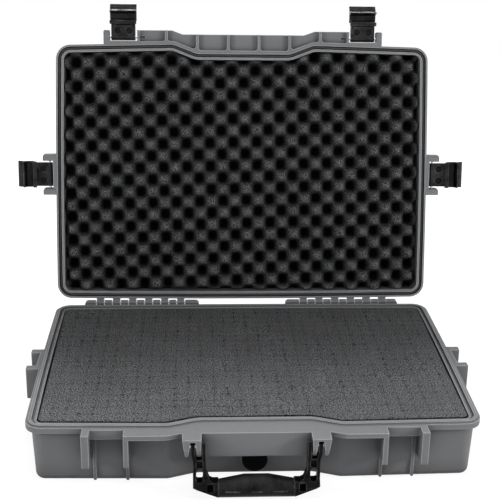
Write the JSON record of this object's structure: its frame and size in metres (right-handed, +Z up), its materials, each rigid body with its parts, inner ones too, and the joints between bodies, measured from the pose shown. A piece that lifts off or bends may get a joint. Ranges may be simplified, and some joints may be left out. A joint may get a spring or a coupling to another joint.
{
  "type": "laptop hard case",
  "caption": "Shallow hinged hard case with stepped front, pull latches, folding handle, purge valve, egg-crate lid foam and scored base foam.",
  "frame": {"origin": "centre of the flat underside of the base, between the two sides and between the hinge-side and front edges of the rim", "axes": "+X to the right seen from the front, along the hinge axis; +Y from the handle side to the hinge side; +Z up out of the base"},
  "size_m": [0.6002, 0.4879, 0.4601],
  "materials": {
    "shell_plastic": "fine satin moulded grain",
    "latch_plastic": "gloss",
    "handle_plastic": "satin",
    "grip_rubber": "soft satin",
    "valve_plastic": "satin",
    "seal_rubber": "matt",
    "foam": "open-cell polyurethane foam",
    "pin_steel": "drawn"
  },
  "bodies": {
    "case": {"base_shell": "shell_plastic", "base_foam_pad": "foam", "base_pluck_foam": "foam", "hinge_pin_left": "pin_steel", "hinge_pin_right": "pin_steel", "valve_body": "valve_plastic", "valve_gasket": "seal_rubber", "valve_nut": "valve_plastic", "handle_pin_left": "pin_steel", "handle_pin_right": "pin_steel"},
    "lid": {"lid_shell": "shell_plastic", "lid_seal": "seal_rubber", "lid_foam": "foam", "latch_pin_front_left": "pin_steel", "latch_pin_front_right": "pin_steel", "latch_pin_side_left": "pin_steel", "latch_pin_side_right": "pin_steel"},
    "arm_front_left": {"latch_arm_front_left": "latch_plastic", "lever_pin_front_left": "pin_steel"},
    "lever_front_left": {"latch_lever_front_left": "latch_plastic"},
    "arm_front_right": {"latch_arm_front_right": "latch_plastic", "lever_pin_front_right": "pin_steel"},
    "lever_front_right": {"latch_lever_front_right": "latch_plastic"},
    "arm_side_left": {"latch_arm_side_left": "latch_plastic", "lever_pin_side_left": "pin_steel"},
    "lever_side_left": {"latch_lever_side_left": "latch_plastic"},
    "arm_side_right": {"latch_arm_side_right": "latch_plastic", "lever_pin_side_right": "pin_steel"},
    "lever_side_right": {"latch_lever_side_right": "latch_plastic"},
    "handle": {"handle_frame": "handle_plastic", "handle_grip": "grip_rubber"},
    "valve_knob": {"valve_knob": "valve_plastic"}
  },
  "joints": [
    {"name": "lid_hinge", "type": "hinge", "parent": "case", "child": "lid", "pos_m": [0, 0.1768, 0.07], "axis": [1, 0, 0], "range_deg": [0, 100]},
    {"name": "latch_arm_front_left", "type": "hinge", "parent": "lid", "child": "arm_front_left", "pos_m": [-0.1576, 0.24289, 0.41891], "axis": [1, 0, 0], "range_deg": [-60, 90]},
    {"name": "latch_lever_front_left", "type": "hinge", "parent": "arm_front_left", "child": "lever_front_left", "pos_m": [-0.1576, 0.24579, 0.4382], "axis": [-1, 0, 0], "range_deg": [0, 70]},
    {"name": "latch_arm_front_right", "type": "hinge", "parent": "lid", "child": "arm_front_right", "pos_m": [0.1576, 0.24289, 0.41891], "axis": [1, 0, 0], "range_deg": [-60, 90]},
    {"name": "latch_lever_front_right", "type": "hinge", "parent": "arm_front_right", "child": "lever_front_right", "pos_m": [0.1576, 0.24579, 0.4382], "axis": [-1, 0, 0], "range_deg": [0, 70]},
    {"name": "latch_arm_side_left", "type": "hinge", "parent": "lid", "child": "arm_side_left", "pos_m": [-0.2573, 0.21162, 0.24156], "axis": [0, 0.1736, 0.9848], "range_deg": [-60, 90]},
    {"name": "latch_lever_side_left", "type": "hinge", "parent": "arm_side_left", "child": "lever_side_left", "pos_m": [-0.2768, 0.21113, 0.24165], "axis": [0, -0.1736, -0.9848], "range_deg": [0, 70]},
    {"name": "latch_arm_side_right", "type": "hinge", "parent": "lid", "child": "arm_side_right", "pos_m": [0.2573, 0.21162, 0.24156], "axis": [0, -0.1736, -0.9848], "range_deg": [-60, 90]},
    {"name": "latch_lever_side_right", "type": "hinge", "parent": "arm_side_right", "child": "lever_side_right", "pos_m": [0.2768, 0.21113, 0.24165], "axis": [0, 0.1736, 0.9848], "range_deg": [0, 70]},
    {"name": "handle_fold", "type": "hinge", "parent": "case", "child": "handle", "pos_m": [0, -0.193, 0.0601], "axis": [-1, 0, 0], "range_deg": [0, 105]},
    {"name": "valve_turn", "type": "hinge", "parent": "case", "child": "valve_knob", "pos_m": [0, -0.16, 0.0241], "axis": [0, -1, 0], "range_deg": [0, 360]}
  ]
}
